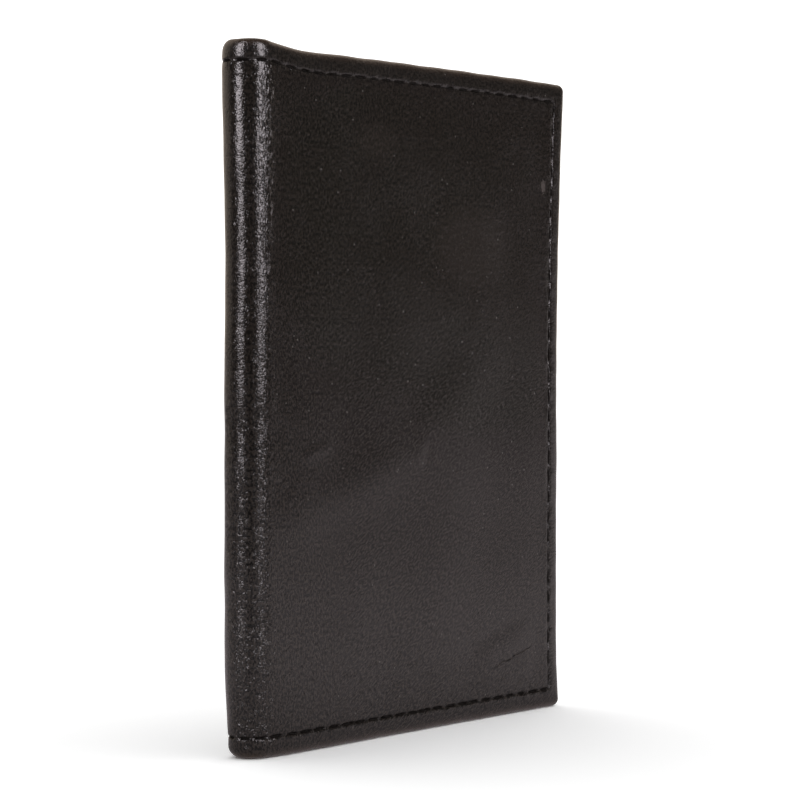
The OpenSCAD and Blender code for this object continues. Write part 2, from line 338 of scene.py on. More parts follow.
class Wire:
    # one socket in a material, which can be reckoned with
    def __init__(self, finish, socket):
        self.finish = finish
        self.socket = socket

    __add__, __radd__ = maths("ADD"), maths("ADD", turned=True)
    __sub__, __rsub__ = maths("SUBTRACT"), maths("SUBTRACT", turned=True)
    __mul__, __rmul__ = maths("MULTIPLY"), maths("MULTIPLY", turned=True)
    __truediv__, __pow__, __abs__ = maths("DIVIDE"), maths("POWER"), maths("ABSOLUTE")
    sine, smallest, largest = maths("SINE"), maths("MINIMUM"), maths("MAXIMUM")

    def between(self, low, high, first=0.0, last=1.0):
        # eases from first to last as the value goes from low to high
        return self.finish.node("ShaderNodeMapRange", {"interpolation_type": "SMOOTHSTEP"},
                                {"Value": self, "From Min": low, "From Max": high,
                                 "To Min": first, "To Max": last})


class Finish:
    # a material, or the world, that is being mixed
    def __init__(self, tree):
        self.tree = tree

    def node(self, kind, settings=None, sockets=None, output=0):
        made = self.tree.nodes.new(kind)
        for key, value in (settings or {}).items():
            setattr(made, key, value)
        for key, value in (sockets or {}).items():
            self.feed(made.inputs[key], value)
        return made if output is None else Wire(self, made.outputs[output])

    def feed(self, socket, value):
        if isinstance(value, Wire):
            self.tree.links.new(value.socket, socket)
        else:
            socket.default_value = value

    def blendOf(self, share, first, second):
        return self.node("ShaderNodeMix", {"data_type": "RGBA"}, {0: share, 6: first, 7: second}, 2)

    def noise(self, where, size, detail=2.0, roughness=0.5, output="Fac"):
        sockets = {"Vector": where, "Scale": 1 / (size * mm), "Detail": detail, "Roughness": roughness}
        return self.node("ShaderNodeTexNoise", None, sockets, output)

    def cells(self, where, size, feature):
        sockets = {"Vector": where, "Scale": 1 / (size * mm), "Randomness": 1.0}
        return self.node("ShaderNodeTexVoronoi", {"feature": feature}, sockets, "Distance")

    def vector(self, operation, *terms, output="Vector"):
        return self.node("ShaderNodeVectorMath", {"operation": operation}, dict(enumerate(terms)), output)

    def stretched(self, where, scale):
        return self.vector("MULTIPLY", where, scale)

    def towards(self, where, heading):
        # how far a place or a direction lies along a heading
        return self.vector("DOT_PRODUCT", where, heading, output="Value")

    def attribute(self, name, output="Vector"):
        return self.node("ShaderNodeAttribute", {"attribute_name": name}, None, output)

    def rayIs(self, kind):
        return self.node("ShaderNodeLightPath", None, None, kind)

    def split(self, vector):
        made = self.node("ShaderNodeSeparateXYZ", None, {"Vector": vector}, None)
        return [Wire(self, made.outputs[axis]) for axis in "XYZ"]

    def relief(self, height):
        # height is in millimetres
        sockets = {"Height": height, "Strength": 1.0, "Distance": mm}
        return self.node("ShaderNodeBump", None, sockets, "Normal")


def emptied(holder):
    holder.use_nodes = True
    holder.node_tree.nodes.clear()
    return Finish(holder.node_tree)


def startMaterial(name):
    material = bpy.data.materials.new(name)
    material.use_nodes = True
    finish = Finish(material.node_tree)
    shader = material.node_tree.nodes["Principled BSDF"]

    def fill(**values):
        for key, value in values.items():
            finish.feed(shader.inputs[key.replace("_", " ")], value)

    return material, finish, fill, finish.attribute("lay")


def opaque(colour):
    return (*colour, 1.0)


noiseMiddle = 0.5  # a noise strays to both sides of this value

# In the looks a pattern is the size of its lumps, its detail and its roughness, and a stretch below 1
# draws it out along that axis. A range is the pair of values between which something fades in or out:
# distances from the middle of the fold, heights, or values of a pattern.
leatherLook = {
    "colour": (0.024, 0.0182, 0.0154),
    "pitShade": (0.0078, 0.006, 0.0052),  # painted shade down in the hollows of the grain
    "lowSheenColour": (0.0345, 0.027, 0.0236),  # the same low on the covers: painted paler for the floor's reflection, with the grain's painted shade darker
    "lowPitShade": (0.0034, 0.0028, 0.0026),
    "lowRange": (15, 75),
    "roughness": (0.13, 0.18),
    "IOR": 1.5,
    "patch": (11, 2.0),  # broad patches that are rougher and more creased
    "patchRange": (0.3, 0.7),
    "drift": (1.3, 2.0),  # takes the grain and the creases out of line
    "driftReach": 0.3,
    "grain": 0.34,  # size of the grain's cells
    "grainRange": (0.0, 0.42),  # from the line between two cells to the flat of one
    "grainDepth": 0.013,  # on the fold, and then on the covers
    "coverGrainDepth": 0.008,
    "foldRange": (5.5, 9.0),  # where the finish of the fold gives way to that of the covers
    "sparkle": (0.9, 1.0),  # here and there the grain stands higher and catches the light
    "sparkleRange": (0.48, 0.7),
    "sparkleShare": (0.7, 2.6),
    "footRange": (8, 40),  # and it stands higher towards the foot
    "footShare": 2.0,
    "swell": (1.1, 1.0),  # soft lumps under the grain of the fold
    "swellDepth": 0.025,
    "crease": (1.6, 3.0, 0.6),
    "creaseHalf": 0.06,
    "creaseRange": (0.45, 0.65),
    "creaseDepth": 0.012,
    "pore": (0.36, 1.0),
    "poreStretch": (1, 0.7, 1),
    "poreRange": (0.38, 0.62),
    "poreDepth": 0.02,
    "slant": math.radians(30),  # low on the covers, away from the fold, the pores run slantwise
    "slantStretch": (1.9, 0.8, 1),  # here above 1 makes them longer
    "slantAlong": (14, 30),
    "slantRange": (50, 80),
    "fleck": (0.09, 0.082, 0.077),
    "fleckSpacing": 2.2,
    "fleckEdge": (0.045, 0.085),
    "fleckGroup": (2.5, 1.0),
    "fleckRange": (0.42, 0.52),
}

# What only the outer leather shows: crinkles along the fold, puckered seams with painted shade in their
# grooves, a brown rim, paler patches and a worn scuff
wornAndShadedLook = {
    "crinkle": 0.48,  # spacing of the crinkles that run along the fold
    "crinkleDepth": 0.03,
    "crinkleFrom": (3.2, 4.4),
    "crinkleTo": (5.6, 7.6),
    "crinkleRange": (50, 90),  # they deepen upwards, from this share of their depth
    "crinkleLow": 0.25,
    "crinkleEnd": 1.5,  # length below the top seam over which they end
    "wander": (1.1, 2.0),
    "wanderStretch": (1, 0.5, 1),
    "wanderReach": 1.8,
    "break": (0.6, 1.0),
    "breakStretch": (1, 0.6, 1),
    "breakRange": (0.38, 0.6),
    "pucker": (0.4, 1.0),  # the small folds that the thread draws in across a seam
    "puckerStretch": 0.12,
    "puckerRange": (0.2, 1.9),
    "puckerDepth": 0.06,
    "groove": (0.012, 0.0094, 0.0085),  # painted shade where the thread presses the leather in
    "grooveRange": (0.6, 0.95),
    "grooveRoughness": 0.15,
    "mattShadeShare": 0.9,  # the groove loses this much of its gloss, in a ragged line, so that its painted shade shows no reflection
    "mattRagged": 1.5,
    "mattRange": (0.3, 0.8),
    "mattFrom": (0.1, 0.35),
    "rim": (0.062, 0.036, 0.022),
    "rimRun": 0.8,  # the strip above the top seam is a little rougher
    "rimRoughness": 0.05,
    # colour of the paler patches on the front cover
    "blotches": (0.035, 0.028, 0.024),
    "paleEdge": 1.4,
    "scuff": (0.075, 0.058, 0.053),
    "scuffRagged": 3.0,
    "scuffEdge": (1.0, 0.3),
    "scuffRoughness": 0.2,
    "ragged": (0.35, 3.0, 0.7),
}

# Where the front cover is a little paler
palePatches = [
    {"along": 56.5, "up": 74.5, "halfWidth": 11.0, "halfHeight": 7.0, "share": 0.45},
    {"along": 31.5, "up": 89.5, "halfWidth": 5.5, "halfHeight": 3.0, "share": 0.33},
]

# A small pale scuff near the fore-edge of the front cover
scuffPlace = {"along": coverEnd - 5.8, "up": 85.0, "halfWidth": 0.7, "halfHeight": 1.25}

# A thin crease low on the front cover, its ends measured from the fold and from below. It fades in over the
# first share of its length, and out from the second.
fineCrease = {
    "start": (54.0, 7.4),
    "end": (68.5, 11.0),
    "depth": 0.04,
    "halfWidth": 0.26,
    "bend": (3.0, 2.0),
    "bendReach": 1.3,
    "fadeIn": 0.3,
    "fadeOut": 0.75,
}


def crinkles(finish, flat, along, up, wornAndShaded):
    beside = abs(along)
    folded = (beside.between(*wornAndShaded["crinkleFrom"]) * (1 - beside.between(*wornAndShaded["crinkleTo"]))
              * up.between(*wornAndShaded["crinkleRange"], wornAndShaded["crinkleLow"], 1.0)
              * up.between(seamTop - wornAndShaded["crinkleEnd"], seamTop, 1.0, 0.0))
    wander = finish.noise(finish.stretched(flat, wornAndShaded["wanderStretch"]), *wornAndShaded["wander"])
    ridges = ((along + wander * wornAndShaded["wanderReach"]) * (math.tau / wornAndShaded["crinkle"])).sine()
    broken = finish.noise(finish.stretched(flat, wornAndShaded["breakStretch"]), *wornAndShaded["break"])
    return ridges * broken.between(*wornAndShaded["breakRange"]) * folded * wornAndShaded["crinkleDepth"]


def puckers(finish, flat, along, up, wornAndShaded):
    offRows = abs(up - seamTop).smallest(abs(up - seams["inset"]))
    offEnd = abs(abs(along) - seamEnd)
    narrow = wornAndShaded["puckerStretch"]
    acrossRows = finish.noise(finish.stretched(flat, (1, narrow, 1)), *wornAndShaded["pucker"])
    acrossEnd = finish.noise(finish.stretched(flat, (narrow, 1, 1)), *wornAndShaded["pucker"])
    drawn = (acrossRows * offRows.between(*wornAndShaded["puckerRange"], 1.0, 0.0)
             + acrossEnd * offEnd.between(*wornAndShaded["puckerRange"], 1.0, 0.0))
    return drawn * wornAndShaded["puckerDepth"]


def creaseLine(finish, flat, along, up, crease):
    start, end = crease["start"], crease["end"]
    length = math.dist(start, end)
    right, rise = (end[0] - start[0]) / length, (end[1] - start[1]) / length
    past, above = along - (foldHalf + start[0]), up - start[1]
    onward = past * right + above * rise
    bent = (finish.noise(flat, *crease["bend"]) - noiseMiddle) * crease["bendReach"]
    across = abs(above * right - past * rise + bent).between(0.0, crease["halfWidth"], 1.0, 0.0)
    faded = (onward.between(0, crease["fadeIn"] * length)
             * onward.between(crease["fadeOut"] * length, length, 1.0, 0.0))
    return across * faded * crease["depth"]


def leatherFinish(name, look, wornAndShaded=None):
    # the last look, of wear and painted seam shade, is given only for the outer leather
    material, finish, fill, lay = startMaterial(name)
    along, up, rim = (part / mm for part in finish.split(lay))
    beside = abs(along)
    flat = finish.stretched(lay, (1, 1, 0))
    reach = look["driftReach"] * mm
    drift = finish.noise(flat, *look["drift"], output="Color")
    drifted = finish.vector("MULTIPLY_ADD", drift, (reach, reach, 0), flat)
    grain = finish.cells(drifted, look["grain"], "DISTANCE_TO_EDGE").between(*look["grainRange"])
    patchy = finish.noise(flat, *look["patch"])
    crease = abs(finish.noise(drifted, *look["crease"]) - noiseMiddle).between(0.0, look["creaseHalf"])
    upright = finish.noise(finish.stretched(flat, look["poreStretch"]), *look["pore"])
    turned = finish.node("ShaderNodeMapping", {"vector_type": "TEXTURE"},
                         {"Vector": flat, "Rotation": (0, 0, look["slant"]), "Scale": look["slantStretch"]})
    slanted = beside.between(*look["slantAlong"]) * up.between(*look["slantRange"], 1.0, 0.0)
    pores = upright * (1 - slanted) + finish.noise(turned, *look["pore"]) * slanted
    # painted shade in the hollows of the grain, and a paler painted sheen low on the covers
    low = up.between(*look["lowRange"], 1.0, 0.0)
    pitShade = finish.blendOf(low, opaque(look["pitShade"]), opaque(look["lowPitShade"]))
    colour = finish.blendOf(low, opaque(look["colour"]), opaque(look["lowSheenColour"]))
    colour = finish.blendOf(pores.between(*look["poreRange"]), pitShade, colour)
    fleck = (finish.cells(flat, look["fleckSpacing"], "F1").between(*look["fleckEdge"], 1.0, 0.0)
             * finish.noise(flat, *look["fleckGroup"]).between(*look["fleckRange"]))
    colour = finish.blendOf(fleck, colour, opaque(look["fleck"]))
    roughness = patchy.between(*look["patchRange"], *look["roughness"])
    if wornAndShaded is None:
        height = grain * look["grainDepth"] + crease * look["creaseDepth"] + pores * look["poreDepth"]
        fill(Base_Color=colour, Roughness=roughness, Normal=finish.relief(height), IOR=look["IOR"])
        return material

    onFold = 1 - beside.between(*look["foldRange"])
    strong = (finish.noise(flat, *look["sparkle"]).between(*look["sparkleRange"], *look["sparkleShare"])
              * up.between(*look["footRange"], look["footShare"], 1.0))
    height = (grain * strong * onFold.between(0, 1, look["coverGrainDepth"], look["grainDepth"])
              + finish.noise(flat, *look["swell"]) * onFold * look["swellDepth"]
              + crease * look["creaseDepth"] * patchy.between(*look["creaseRange"])
              + pores * look["poreDepth"]
              + crinkles(finish, flat, along, up, wornAndShaded)
              + puckers(finish, flat, along, up, wornAndShaded)
              - creaseLine(finish, flat, along, up, fineCrease))

    def away(spot):
        # 0 in the middle of a spot on the cover, and 1 at its edge
        across = (along - spot["along"]) / spot["halfWidth"]
        over = (up - spot["up"]) / spot["halfHeight"]
        return across * across + over * over

    for patch in palePatches:
        share = away(patch).between(0.0, wornAndShaded["paleEdge"], patch["share"], 0.0)
        colour = finish.blendOf(share, colour, opaque(wornAndShaded["blotches"]))
    colour = finish.blendOf(rim.between(0.0, 1.0), colour, opaque(wornAndShaded["rim"]))
    ragged = finish.noise(flat, *wornAndShaded["ragged"]) - noiseMiddle
    scuffed = (away(scuffPlace) + ragged * wornAndShaded["scuffRagged"]).between(*wornAndShaded["scuffEdge"])
    colour = finish.blendOf(scuffed, colour, opaque(wornAndShaded["scuff"]))
    # painted shade in the seam's groove, in its colour
    pressed = finish.attribute("pressed", "Fac")
    colour = finish.blendOf(pressed.between(*wornAndShaded["grooveRange"]), colour, opaque(wornAndShaded["groove"]))
    roughness = (roughness + scuffed * wornAndShaded["scuffRoughness"] + pressed * wornAndShaded["grooveRoughness"]
                 + up.between(seamTop, seamTop + wornAndShaded["rimRun"]) * wornAndShaded["rimRoughness"])
    fill(Base_Color=colour, Roughness=roughness, Normal=finish.relief(height), IOR=look["IOR"])
    # painted shade: a matt dark shader mixed into the groove, which reflects nothing
    grooveShade = finish.node("ShaderNodeBsdfDiffuse", None, {"Color": opaque(wornAndShaded["groove"])})
    share = ((pressed + ragged * wornAndShaded["mattRagged"]).between(*wornAndShaded["mattRange"], 0.0, wornAndShaded["mattShadeShare"])
             * pressed.between(*wornAndShaded["mattFrom"]))
    gloss = Wire(finish, finish.tree.nodes["Principled BSDF"].outputs[0])
    mixed = finish.node("ShaderNodeMixShader", None, {0: share, 1: gloss, 2: grooveShade})
    finish.feed(finish.tree.nodes["Material Output"].inputs["Surface"], mixed)
    return material


threadLook = {
    "colour": (0.0108, 0.0089, 0.0082),
    "paler": 2.2,  # how much paler single fibres are
    "roughness": 0.7,
    "rougher": 0.15,
    "gloss": 0.05,
    "twist": 0.42,
    "plyDepth": 0.03,
    "fibre": (0.06, 2.0),
    "fibreStretch": (1, 0.2, 1),
    "fibreRange": (0.3, 0.8),
    "fibreDepth": 0.008,
}


def threadFinish(look):
    material, finish, fill, lay = startMaterial("thread_black")
    along, around = (part / mm for part in finish.split(lay)[:2])
    plies = (along * (math.tau / look["twist"]) + around).sine()
    fibres = finish.noise(finish.stretched(lay, look["fibreStretch"]), *look["fibre"])
    height = (plies + 1) * (look["plyDepth"] / 2) + fibres * look["fibreDepth"]
    colour = finish.blendOf(fibres.between(*look["fibreRange"]), opaque(look["colour"]),
                            opaque([look["paler"] * part for part in look["colour"]]))
    fill(Base_Color=colour, Roughness=look["roughness"] + fibres * look["rougher"],
         Normal=finish.relief(height), Specular_IOR_Level=look["gloss"])
    return material


liningLook = {
    "colour": (0.016, 0.0155, 0.017),
    "lit": (0.034, 0.033, 0.036),
    "roughness": 0.62,
    "rougher": 0.12,
    "yarn": 0.34,
    "yarnRange": (-0.8, 0.8),
    "depth": 0.05,
    "slub": (0.7, 2.0),  # thicker stretches of yarn
    "slubStretch": (0.15, 1, 1),
    "slubRange": (0.2, 0.8),
    "slubDepth": 0.02,
}


def liningFinish(look):
    material, finish, fill, lay = startMaterial("lining_cloth")
    turns = math.tau / (look["yarn"] * mm)
    warp, weft = ((part * turns).sine() for part in finish.split(lay)[:2])
    weave = (warp * weft).between(*look["yarnRange"])
    slub = finish.noise(finish.stretched(lay, look["slubStretch"]), *look["slub"])
    colour = finish.blendOf(weave * slub.between(*look["slubRange"]), opaque(look["colour"]),
                            opaque(look["lit"]))
    height = weave * look["depth"] + slub * look["slubDepth"]
    fill(Base_Color=colour, Roughness=look["roughness"] + weave * look["rougher"],
         Normal=finish.relief(height))
    return material


boardLook = {
    "colour": (0.19, 0.15, 0.105),
    "dark": (0.12, 0.09, 0.06),
    "roughness": 0.85,
    "rougher": 0.1,
    "fibre": (0.5, 4.0, 0.65),
    "fibreStretch": (0.25, 1, 1),
    "fibreRange": (0.3, 0.7),
    "fibreDepth": 0.03,
    "speck": (0.25, 2.0),
    "speckDepth": 0.01,
}


def boardFinish(look):
    material, finish, fill, lay = startMaterial("fibre_board")
    fibres = finish.noise(finish.stretched(lay, look["fibreStretch"]), *look["fibre"])
    specks = finish.noise(lay, *look["speck"])
    colour = finish.blendOf(fibres.between(*look["fibreRange"]), opaque(look["dark"]), opaque(look["colour"]))
    height = fibres * look["fibreDepth"] + specks * look["speckDepth"]
    fill(Base_Color=colour, Roughness=look["roughness"] + specks * look["rougher"],
         Normal=finish.relief(height))
    return material


windowLook = {
    "colour": (0.93, 0.95, 0.96),
    "IOR": 1.46,
    "roughness": (0.04, 0.12),
    "blotches": (14, 3.0),
    "handledRange": (0.3, 0.7),
    "handledDepth": 0.02,
    "scratch": (0.5, 2.0, 0.7),
    "scratchStretch": (1, 0.05, 1),
    "scratchDepth": 0.0012,
}


def windowFinish(look):
    material, finish, fill, lay = startMaterial("clear_window")
    blotches = finish.noise(lay, *look["blotches"])
    scratches = finish.noise(finish.stretched(lay, look["scratchStretch"]), *look["scratch"])
    height = blotches * look["handledDepth"] + scratches * look["scratchDepth"]
    fill(Base_Color=opaque(look["colour"]), Transmission_Weight=1.0, IOR=look["IOR"],
         Roughness=blotches.between(*look["handledRange"], *look["roughness"]), Normal=finish.relief(height))
    return material


frameLeatherLook = {**leatherLook, "roughness": (0.38, 0.48), "grainDepth": 0.02}

print("mixing the finishes")
finishes = {
    "leather": leatherFinish("cover_leather", leatherLook, wornAndShadedLook),
    "frame_leather": leatherFinish("frame_leather", frameLeatherLook),
    "thread": threadFinish(threadLook),
    "lining": liningFinish(liningLook),
    "board": boardFinish(boardLook),
    "window": windowFinish(windowLook),
}

# The outer leather with its turned edge, from the middle of the fold to the fore-edge
leatherSheet = {
    "thickness": 0.78,
    "cornerRadius": 1.2,
    "leastRadius": 0.3,
    "rimLength": 1.8,  # from the edge to where its rounding meets the outer face
    "rimSteps": (4, 6),  # steps round the rim, on the hem's side and on the outer side
    "hemStops": (7.0, 5.6, 4.2, 3.2, 2.4, 1.8),  # distances in from the edge, from the hem's end
    "shoulder": 2.5,
    # distances from the line of needle holes, and depths
    "groove": ((-0.36, 0), (-0.18, 0.06), (-0.11, 0.24), (0, 0.32), (0.11, 0.24), (0.18, 0.06), (0.36, 0)),
    "grooveReach": 0.38,
    "panelStops": (3.75, 4.2, 4.9, 5.7, 6.5, 7.3, 8.1, 8.9),
    "seamColumn": 0.02,  # width of the first column, beside the other half
    "columnsInStitch": 6,
    "foldColumns": 20,
    "cornerStitches": (3, 2),  # stitches between the needle line and the panel, along and up
    "rimReach": 1.9,  # how far the brown of the rim spreads
    "bridge": 0.85,  # how much shallower the groove is at the needle holes
    "bridgeReach": 0.6,
    "uneven": 0.3,  # how much the depth of the groove varies, over this length
    "unevenLength": 1.9,
    "unevenSeed": 43,
    "grooveHalf": 0.5,  # how far from the needle holes its depth is changed
    "grooveShare": (0.05, 1.2),  # least and most share of its depth
    "pinch": 0.04,  # how far the leather sinks round a needle hole
    "pinchReach": 1.0,
    "pinchInset": 5.0,
    "lip": 0.08,  # unevenness of the leather beside the groove
    "lipLength": 1.7,
    "lipSeed": 41,
    "lipAt": 0.45,
    "lipHalf": 0.3,
    # soft ridges along the seam: height, distance in from the edge and half width
    "puffs": ((0.03, 4.4, 0.9), (0.04, 2.4, 0.45)),
    "wobble": 0.05,  # how far the edge strays
    "wobbleTurns": (0.61, 0.83, 0.23, -0.37),  # radians in a millimetre, along and up, of two waves
    "wobbleStart": 1.1,
    "wobbleReach": 5.0,
    "panelInset": 9.0,  # stands for the distance from the edge all over the panel
    "smoothBelow": 50,
}
glueGap = 0.02
hemFace = depthOf("front_window_sheet") - glueGap


def edgeSection(sheet):
    # the turned edge in section, as distance in from the edge and depth, from the hem's end to the panel
    half = hemFace / 2
    inner, outer = sheet["rimSteps"]
    section = [(stop, hemFace) for stop in sheet["hemStops"]]
    for step in range(inner + outer + 1):
        if step <= inner:
            angle = math.pi - math.pi / 2 * step / inner
            reach = half
        else:
            angle = math.pi / 2 * (1 - (step - inner) / outer)
            reach = sheet["rimLength"]
        section.append((reach * (1 - math.sin(angle)), half * (1 - math.cos(angle))))
    section.append((sheet["shoulder"], 0.0))
    section += [(seams["inset"] + across, depth) for across, depth in sheet["groove"]]
    section += [(stop, 0.0) for stop in sheet["panelStops"]]
    return section


# Crease lines on the front cover, each from one place to another, measured from the fold and from below,
# with its depth and half width, and the height of the soft ridge below it
coverCreases = [
    ((55.5, 7.8), (68.0, 10.8), 0.02, 0.7, 0.07),
    ((48.0, 11.3), (69.0, 16.6), 0.025, 1.1, 0.1),
    ((39.0, 45.0), (37.4, 39.5), 0.03, 0.7, 0.03),
    ((33.0, 73.5), (42.0, 64.5), -0.03, 0.6, 0.0),
    ((6.0, 42.6), (15.5, 44.8), -0.05, 0.9, 0.0),
    ((-6.0, 31.0), (44.0, 45.0), -0.12, 4.2, 0.0),
    ((30.0, 40.5), (62.0, 62.0), -0.075, 4.8, 0.0),
]
creaseForm = {
    "ridgeBelow": 3,  # in half widths of the crease
    "ridgeHalf": 2.4,
    "fade": 1 / 3,  # share of its length over which each end fades
}


def creaseDepth(side, s, z):
    depth = np.zeros(np.shape(s))
    if side == back:
        return depth
    past = s - foldHalf
    for (s0, z0), (s1, z1), deep, half, ridge in coverCreases:
        run = np.array([s1 - s0, z1 - z0])
        t = ((past - s0) * run[0] + (z - z0) * run[1]) / (run @ run)
        across = ((z - z0) * run[0] - (past - s0) * run[1]) / np.linalg.norm(run)
        lifted = ridge * bump(across, -creaseForm["ridgeBelow"] * half, creaseForm["ridgeHalf"] * half)
        ends = ease(t / creaseForm["fade"]) * ease((1 - t) / creaseForm["fade"])
        depth = depth + (deep * bump(across, 0, half) - lifted) * ends
    return depth


def leatherHalf(side, sheet):
    section = edgeSection(sheet)
    levels = len(section)
    inStitch = sheet["columnsInStitch"]
    alongCount, upCount = (inStitch * (len(row) - 1) for row in coverRows[:2])
    step = (seamEnd - foldHalf) / alongCount
    rise = (seamTop - seams["inset"]) / upCount
    cornerAlong, cornerUp = (count * inStitch for count in sheet["cornerStitches"])
    stops = [0.0, sheet["seamColumn"]]
    stops += [foldHalf * count / sheet["foldColumns"] for count in range(1, sheet["foldColumns"] + 1)]
    stops += [foldHalf + step * count for count in range(1, alongCount - cornerAlong + inStitch + 1)]
    shelf = seams["inset"] + rise * cornerUp
    rowCount = upCount - 2 * cornerUp
    heights = [shelf + rise * count for count in range(rowCount + 1)]
    columns = len(stops) - 1 + levels
    rows = rowCount + 2 * levels

    def onRing(inset, i, j):
        # the flat place of the grid's vertex on the ring that is this far in from the edge
        high = j > rows / 2
        fromEnd = rows - j if high else j
        level = min(columns - i, fromEnd)
        radius = max(sheet["cornerRadius"] - inset, sheet["leastRadius"])
        upSide = columns - i == level and fromEnd > level
        if upSide and fromEnd >= levels:
            return coverEnd - inset, heights[j - levels]
        if not upSide and columns - i >= levels:
            return stops[i], coverHeight - inset if high else inset
        gone = (levels - fromEnd if upSide else i - columns + levels) / (levels - level)
        start = shelf if upSide else coverEnd - stops[-1]
        straight = start - inset - radius
        run = gone * (straight + radius * math.pi / 4)
        angle = max(run - straight, 0) / radius
        near = inset + radius - radius * math.sin(angle) if run > straight else start - run
        off = inset + radius - radius * math.cos(angle)
        fromFore, z = (off, near) if upSide else (near, off)
        return coverEnd - fromFore, coverHeight - z if high else z

    lengths = np.cumsum([0.0] + [math.dist(section[k], section[k + 1]) for k in range(levels - 1)])
    unrolled = section[-1][0] - (lengths[-1] - lengths)  # the section laid flat beside the panel

    def strayed(inset, i, j):
        # the same place on an edge that isn't quite straight
        s, z = onRing(inset, i, j)
        firstAlong, firstUp, nextAlong, nextUp = sheet["wobbleTurns"]
        swing = (math.sin(s * firstAlong + z * firstUp)
                 * math.sin(s * nextAlong + z * nextUp + sheet["wobbleStart"]))
        give = sheet["wobble"] * (1 + swing)
        return onRing(inset + give * max(1 - inset / sheet["wobbleReach"], 0), i, j)

    flat = []
    for j in range(rows + 1):
        for i in range(columns + 1):
            level = min(columns - i, j, rows - j)
            if level >= levels:
                spot = (stops[i], heights[j - levels])
                flat.append((*spot, sheet["panelInset"], 0.0, *spot, 0.0))
                continue
            inset, depth = section[level]
            nearRim = max(0.0, 1 - math.dist((inset, depth), (0, hemFace / 2)) / sheet["rimReach"])
            flat.append((*strayed(inset, i, j), inset, depth, *onRing(unrolled[level], i, j), nearRim))
    s, z, inset, depth, layS, layZ, nearRim = np.array(flat).T

    distance = np.sqrt(((np.stack([s, z], 1)[:, None, :] - needleHoles[None, :, :]) ** 2).sum(2)).min(1)
    outside = depth < hemFace / 2
    off = np.abs(inset - seams["inset"])
    bridged = (1 - sheet["bridge"] * bump(distance, 0, sheet["bridgeReach"])
               - sheet["uneven"] * ripple(s, z, sheet["unevenLength"], sheet["unevenSeed"]))
    bridged = np.where(off < sheet["grooveHalf"], np.clip(bridged, *sheet["grooveShare"]), 1)
    pressed = bump(off, 0, sheet["grooveReach"]) * outside * np.clip(bridged, 0, 1)
    pinched = sheet["pinch"] * bump(distance, 0, sheet["pinchReach"]) * (inset < sheet["pinchInset"])
    lip = (sheet["lip"] * ripple(s, z, sheet["lipLength"], sheet["lipSeed"])
           * bump(off, sheet["lipAt"], sheet["lipHalf"]))
    puffed = sum(puff * bump(inset, puffAt, half) for puff, puffAt, half in sheet["puffs"])
    depth = np.where(outside, depth * bridged + pinched + creaseDepth(side, s, z) + lip - puffed, depth)

    piece = gridOf(sideNames[side] + "_leather", columns, rows)
    moveVertices(piece, place(side, s, z, depth))
    setLay(piece, side * layS, layZ, nearRim)
    # where the thread presses the leather in, which the finish paints with shade
    mark = piece.data.attributes.new("pressed", "FLOAT", "POINT")
    mark.data.foreach_set("value", pressed.astype(np.float32))
    thicken(piece, side, sheet["thickness"], use_even_offset=False)
    complete(piece, side, "leather", [sideNames[side] + "_outer_leather", "spine_leather"],
             sheet["smoothBelow"])


print("turning the leather")
for side in (front, back):
    leatherHalf(side, leatherSheet)

# Layers that follow the fold: the lining and the strip that stiffens the spine
foldedLayers = {
    "cell": 1.2,  # spacing of the grid
    "foldCell": 0.5,
    "slack": 0.02,  # how far a layer gives between its glue lines, in waves of this length
    "slackLength": 6,
    "slackSeed": 12,
    "liningThickness": 0.25,
    "smoothBelow": 50,
}


def foldedLayer(name, side, nodes, depth, end, thickness, slotName):
    # nodes are the frame's nodes that it stands for, and end is how far round it reaches
    base = boxOf(nodes[-1])[0][2]
    top = coverHeight - base
    foldEnd = min(end, foldHalf)
    foldCount = round(foldEnd / foldedLayers["foldCell"])
    stops = [0.0, leatherSheet["seamColumn"]]
    stops += [foldEnd * count / foldCount for count in range(1, foldCount + 1)]
    if end > foldHalf:
        flatCount = round((end - foldHalf) / foldedLayers["cell"])
        stops += [foldHalf + (end - foldHalf) * count / flatCount for count in range(1, flatCount + 1)]
    rowCount = round((top - base) / foldedLayers["cell"])
    heights = [base + (top - base) * count / rowCount for count in range(rowCount + 1)]
    z, s = (grid.ravel() for grid in np.meshgrid(heights, stops, indexing="ij"))
    piece = gridOf(name, len(stops) - 1, rowCount)
    slack = foldedLayers["slack"] * ripple(s, z, foldedLayers["slackLength"], foldedLayers["slackSeed"])
    moveVertices(piece, place(side, s, z, depth + slack))
    setLay(piece, side * s, z)
    thicken(piece, side, thickness)
    complete(piece, side, slotName, nodes, foldedLayers["smoothBelow"])


# Flat layers, shaped from copies of the nodes: the boards, the clear sheets and the window frames
flatLayers = {
    "merge": 0.001,
    "dissolveBelow": 1,  # degrees, as the next two
    "bevelAbove": 40,
    "smoothBelow": 35,
    "cut": 4.0,  # spacing of the cuts that let a layer follow the curl of its cover
    "bevel": {"board": 0.05, "window": 0.03, "frame_leather": 0.14},
    "bevelSteps": 2,
}


